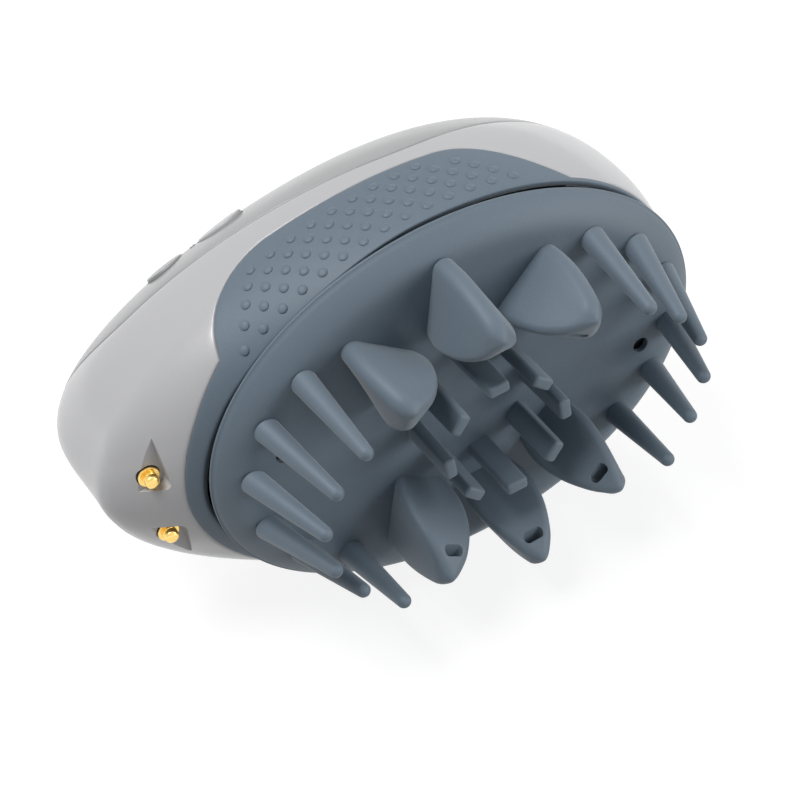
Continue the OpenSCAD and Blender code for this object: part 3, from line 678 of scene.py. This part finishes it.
# Rows run from the middle of the underside out to the rim and back over the top
def addSheet(bm):
    form = sheetForm
    rows = [(s, form["top"] - form["thick"]) for s in (42, 30, 18, 9)]
    rows += [(s, swell(s) - form["thick"]) for s in (7.5, 6, 4.5)]
    rows += [(form["under"], form["underTop"]), (form["under"], form["lip"][0][1])]
    rows += list(form["lip"])
    rows += [(s, swell(s)) for s in (0.8, 1.2, 1.8, 2.5, 3.3, 4.2, 5.2, 6.3, 7.5, 9.0)]
    rows += [(s, form["top"]) for s in (14, 22, 32, 42)]

    def place(column, row):
        inset, z = rows[row]
        angle = 2 * pi * column / form["columns"]
        return Vector(((form["rimA"] - inset) * cos(angle),
                       max(0.2, form["rimB"] - inset) * sin(angle), z))
    wrappedGrid(bm, form["columns"], len(rows) - 1, place, closeRows=False)
    for level in (form["top"] - form["thick"], form["top"]):
        rim = [e for e in bm.edges if len(e.link_faces) == 1
               and abs(e.verts[0].co.z - level) < 0.01]
        bmesh.ops.contextual_create(bm, geom=rim)
    bmesh.ops.recalc_face_normals(bm, faces=bm.faces)


def drainHoles():
    cutter = bmesh.new()
    for x, y in sheetForm["holes"]:
        hole = bmesh.new()
        bmesh.ops.create_cone(hole, cap_ends=True, segments=40, radius1=sheetForm["holeRadius"],
                              radius2=sheetForm["holeRadius"], depth=8)
        addTo(cutter, hole, Matrix.Translation((x, y, sheetForm["top"])))
    return cutter


bm = bmesh.new()
addSheet(bm)
cutWith(bm, drainHoles())
makePiece(bm, "brushSheet", "brush_head", "slate_rubber", ["brush_sheet"], 50)


fingerForm = {"foot": 4.82, "groupX": 24.5, "pinRing": 27.5, "pinAngles": (14.3, 40.8, 67.5),
              "pinLean": (5.6, 5.4, 3.7), "pinZ": (26.2, 26.4, 27.7), "pinFoot": 2.9,
              "pinTip": 1.6, "pinSunk": 1.4, "blockRing": 14.2, "blockZ": 21.5,
              "blockWide": 5.4, "blockThick": 3.0, "blockTaper": 0.93, "blockRound": 0.75}


def addPin(bm, which, side, up):
    form = fingerForm
    angle = radians(form["pinAngles"][which])
    foot = Vector((side * (form["groupX"] + form["pinRing"] * cos(angle)),
                   up * form["pinRing"] * sin(angle), form["foot"]))
    inward = -form["pinLean"][which] * Vector((side * cos(angle), up * sin(angle), 0))
    tip = foot + inward
    tip.z = form["pinZ"][which]
    axis = tip - foot
    length = axis.length
    base, end, sunk = form["pinFoot"], form["pinTip"], form["pinSunk"]
    profile = [(0, -sunk), (base, -sunk), (base, 0.0)]
    profile += [(base + (end - base) * t, length * t) for t in (0.15, 0.3, 0.5, 0.7, 0.85)]
    profile += [(end * cos(radians(a)), length + end * sin(radians(a))) for a in range(0, 90, 10)]
    profile += [(0, length + end)]
    turn = axis.to_track_quat("Z", "Y").to_matrix().to_4x4()
    addTo(bm, spun(profile, 36), Matrix.Translation(foot) @ turn)


# Cuts the leaning pins off level with the sheet
def flatFoot(bm):
    cut = bmesh.ops.bisect_plane(bm, geom=bm.verts[:] + bm.edges[:] + bm.faces[:], dist=0.0001,
                                 plane_co=(0, 0, fingerForm["foot"]), plane_no=(0, 0, -1),
                                 clear_outer=True)
    edges = [g for g in cut["geom_cut"] if isinstance(g, bmesh.types.BMEdge)]
    bmesh.ops.edgenet_fill(bm, edges=edges)
    bmesh.ops.recalc_face_normals(bm, faces=bm.faces)


for side, name, body in ((-1, "left", "left_group"), (1, "right", "right_group")):
    bm = bmesh.new()
    for up in (-1, 1):
        for which in range(3):
            addPin(bm, which, side, up)
    flatFoot(bm)
    makePiece(bm, name + "Pins", body, "slate_rubber", [name + "_pins"], 50)


def addBlock(bm, turn):
    form = fingerForm
    foot, top = form["foot"], form["blockZ"]
    block = bmesh.new()
    made = bmesh.ops.create_cube(block, size=1)["verts"]
    bmesh.ops.scale(block, verts=made, vec=(form["blockThick"], form["blockWide"], top - foot))
    for vert in made:
        taper = form["blockTaper"] if vert.co.z > 0 else 1.0
        vert.co.x *= taper
        vert.co.y *= taper
    upper = [e for e in block.edges if any(v.co.z > 0 for v in e.verts)]
    bmesh.ops.bevel(block, geom=upper, offset=form["blockRound"], offset_type="OFFSET",
                    segments=4, profile=0.5, affect="EDGES", material=-1, clamp_overlap=True)
    stand = Matrix.Translation((form["blockRing"], 0, (foot + top) / 2))
    addTo(bm, block, Matrix.Rotation(turn, 4, "Z") @ stand)


bm = bmesh.new()
for k in range(8):
    addBlock(bm, radians(45 * k))
makePiece(bm, "centreBlocks", "centre_group", "slate_rubber", ["centre_blocks"], 50)

clawForm = {"sideFoot": (14.8, 14.7), "sideTip": (19.1, 20.9), "sideBack": 55.2, "sideTop": 27.1,
            "midFoot": (0.0, 21.0), "midTip": (0.0, 27.3), "midBack": 90.0, "midTop": 28.1,
            "width": (13.0, 20.5, 4.0), "depth": (17.8, 18.0, 6.2), "edge": 1.6, "ridge": 2.5,
            "startSlope": 0.3, "turnFrom": 0.6, "turnBy": 2.2, "roundFrom": 0.84, "steps": 44,
            "slotBelow": 3.6, "slotHalf": 1.4, "slotRadius": 1.0, "slotLong": 9.0,
            "slotShift": -0.5}


def blend3(values, t):
    return values[0] * (1 - t) ** 2 + 2 * values[1] * t * (1 - t) + values[2] * t * t


# Rounded triangle: a flat face towards the brush's middle and a ridge behind it
def clawSection(width, depth, edge, ridge):
    line = Vector((ridge - depth + edge, edge - width / 2))
    turn = atan2(line.y, line.x) % (2 * pi) - acos((edge - ridge) / line.length)
    arcs = [(-edge, width / 2 - edge, 0, turn, edge),
            (ridge - depth, 0, turn, 2 * pi - turn, ridge),
            (-edge, edge - width / 2, 2 * pi - turn, 2 * pi, edge)]
    points = []
    for x, y, start, end, r in arcs:
        points += [Vector((x + r * cos(start + (end - start) * k / 8),
                           y + r * sin(start + (end - start) * k / 8))) for k in range(9)]
    full = []
    for k, point in enumerate(points):
        after = points[(k + 1) % len(points)]
        full.append(point)
        if k % 9 == 8:
            full += [point.lerp(after, share) for share in (0.25, 0.5, 0.75)]
    return full


def addClaw(bm, foot, tip, top, back):
    form = clawForm
    low = fingerForm["foot"]
    outward = Vector((cos(radians(back)), sin(radians(back))))
    across = Vector((-outward.y, outward.x))
    start, cap = form["roundFrom"], 1 - form["roundFrom"]
    sections = []
    for k in range(form["steps"] + 1):
        u = k / form["steps"]
        u = u if u < start else start + cap * sin((u - start) / cap * pi / 2)
        shrink = sqrt(max(0.0, 1 - (max(0.0, u - start) / cap) ** 2))
        width, full = blend3(form["width"], u) * shrink, blend3(form["depth"], u)
        face = form["turnBy"] * max(0.0, (u - form["turnFrom"]) / (1 - form["turnFrom"])) ** 2
        depth = (full - face) * shrink
        edge = max(1e-5, min(form["edge"], depth / 2.5, width / 2.5))
        ridge = max(1e-5, min(form["ridge"], depth / 2.5, width / 2.5))
        bow = form["startSlope"] * u + (1 - form["startSlope"]) * u * u
        out = face + (full - face) * (1 - shrink) / 2
        middle = Vector(foot).lerp(Vector(tip), bow) + outward * out
        sections.append((middle, clawSection(width, depth, edge, ridge), low + (top - low) * u))

    def place(column, row):
        middle, section, z = sections[row]
        point = section[column]
        flat = middle - point.x * outward - point.y * across
        return Vector((flat.x, flat.y, z))
    wrappedGrid(bm, len(sections[0][1]), form["steps"], place, closeRows=False)
    rim = [e for e in bm.edges if len(e.link_faces) == 1]
    bmesh.ops.contextual_create(bm, geom=rim)
    bmesh.ops.recalc_face_normals(bm, faces=bm.faces)


def cutSlot(bm, tip, top, back):
    form = clawForm
    half, r = form["slotHalf"], form["slotRadius"]
    cutter = bmesh.new()
    made = bmesh.ops.create_cube(cutter, size=1)["verts"]
    bmesh.ops.scale(cutter, verts=made, vec=(form["slotLong"], 2 * (half + r), 2 * r))
    long = [e for e in cutter.edges if abs(e.verts[0].co.x - e.verts[1].co.x) > 1]
    bmesh.ops.bevel(cutter, geom=long, offset=r * 0.98, offset_type="OFFSET", segments=6,
                    profile=0.5, affect="EDGES", material=-1, clamp_overlap=True)
    middle = Vector((tip[0], tip[1], top - form["slotBelow"]))
    place = (Matrix.Translation(middle) @ Matrix.Rotation(radians(back), 4, "Z")
             @ Matrix.Translation((form["slotShift"], 0, 0)))
    bmesh.ops.transform(cutter, matrix=place, verts=cutter.verts)
    cutWith(bm, cutter)


def makeClaw(name, body, node, kind, side, up):
    form = clawForm
    bm = bmesh.new()
    addClaw(bm, form[kind + "Foot"], form[kind + "Tip"], form[kind + "Top"], form[kind + "Back"])
    cutSlot(bm, form[kind + "Tip"], form[kind + "Top"], form[kind + "Back"])
    bmesh.ops.scale(bm, verts=bm.verts, vec=(side, up, 1))
    bmesh.ops.recalc_face_normals(bm, faces=bm.faces)
    makePiece(bm, name, body, "slate_rubber", [node], 38)


for up, height in ((1, "upper"), (-1, "lower")):
    makeClaw(height + "LeftClaw", "left_group", height + "_left_claw", "side", -1, up)
    makeClaw(height + "MiddleClaw", "centre_group", height + "_middle_claw", "mid", 1, up)
    makeClaw(height + "RightClaw", "right_group", height + "_right_claw", "side", 1, up)
print("brush done")

view = {"place": (-0.11473, -0.31587, 0.33541), "right": (0.86161, -0.47768, -0.17161),
        "up": (0.43777, 0.52823, 0.72755), "lens": 90, "sensor": 36, "nearest": 0.01}
camera = bpy.data.cameras.new("camera")
camera.lens = view["lens"]
camera.sensor_width = view["sensor"]
camera.clip_start = view["nearest"]
cameraObject = bpy.data.objects.new("camera", camera)
right, up = Vector(view["right"]), Vector(view["up"])
turn = Matrix((right, up, right.cross(up))).transposed().to_4x4()
cameraObject.matrix_world = Matrix.Translation(view["place"]) @ turn
bpy.context.scene.collection.objects.link(cameraObject)
bpy.context.scene.camera = cameraObject

# A lamp is its name, its place and width in metres, and its watts
studio = {"floor": -0.0005, "floorSize": 6.0, "floorTone": 0.24, "floorGlow": 0.86,
          "floorRough": 0.22, "ambient": 0.15,
          "lamps": (("top", (-0.3, 0.05, 1.02), 0.55, 7.8),
                    ("right", (0.68, -0.62, 0.15), 0.7, 4.8))}

floorMesh = bpy.data.meshes.new("floor")
bm = bmesh.new()
bmesh.ops.create_grid(bm, x_segments=1, y_segments=1, size=studio["floorSize"])
bmesh.ops.translate(bm, verts=bm.verts, vec=(0, 0, studio["floor"]))
bm.to_mesh(floorMesh)
bm.free()
floorObject = bpy.data.objects.new("floor", floorMesh)
bpy.context.scene.collection.objects.link(floorObject)


# 1 where the camera looks straight at the background, or by way of a mirror or a lens
def plainlySeen(sock):
    path = sock.node("ShaderNodeLightPath", {}, {}, "Is Camera Ray")
    rays = path.out.node.outputs
    mirrored = Sock(sock.tree, rays["Is Glossy Ray"])
    through = Sock(sock.tree, rays["Is Transmission Ray"])
    return path.math("MAXIMUM", path, mirrored.math("MAXIMUM", mirrored, through))


def whiteFloor():
    mat = bpy.data.materials.new("whiteFloor")
    mat.use_nodes = True
    tree = mat.node_tree
    bsdf = tree.nodes["Principled BSDF"]
    sock = Sock(tree)
    seen = plainlySeen(sock)
    bsdf.inputs["Base Color"].default_value = (studio["floorTone"],) * 3 + (1,)
    bsdf.inputs["Roughness"].default_value = studio["floorRough"]
    bsdf.inputs["Emission Color"].default_value = (1, 1, 1, 1)
    tree.links.new((seen * studio["floorGlow"]).out, bsdf.inputs["Emission Strength"])
    return mat


floorMesh.materials.append(whiteFloor())

world = bpy.data.worlds.new("world")
bpy.context.scene.world = world
world.use_nodes = True
worldTree = world.node_tree
sky = worldTree.nodes["Background"]
sky.inputs["Color"].default_value = (1, 1, 1, 1)
strength = plainlySeen(Sock(worldTree)) * (1 - studio["ambient"]) + studio["ambient"]
worldTree.links.new(strength.out, sky.inputs["Strength"])

for name, place, size, watts in studio["lamps"]:
    lamp = bpy.data.lights.new(name, "AREA")
    lamp.shape = "DISK"
    lamp.size = size
    lamp.energy = watts
    lampObject = bpy.data.objects.new(name, lamp)
    lampObject.matrix_world = (Matrix.Translation(place)
                               @ Vector(place).to_track_quat("Z", "Y").to_matrix().to_4x4())
    bpy.context.scene.collection.objects.link(lampObject)

bpy.context.scene.view_settings.view_transform = "Standard"
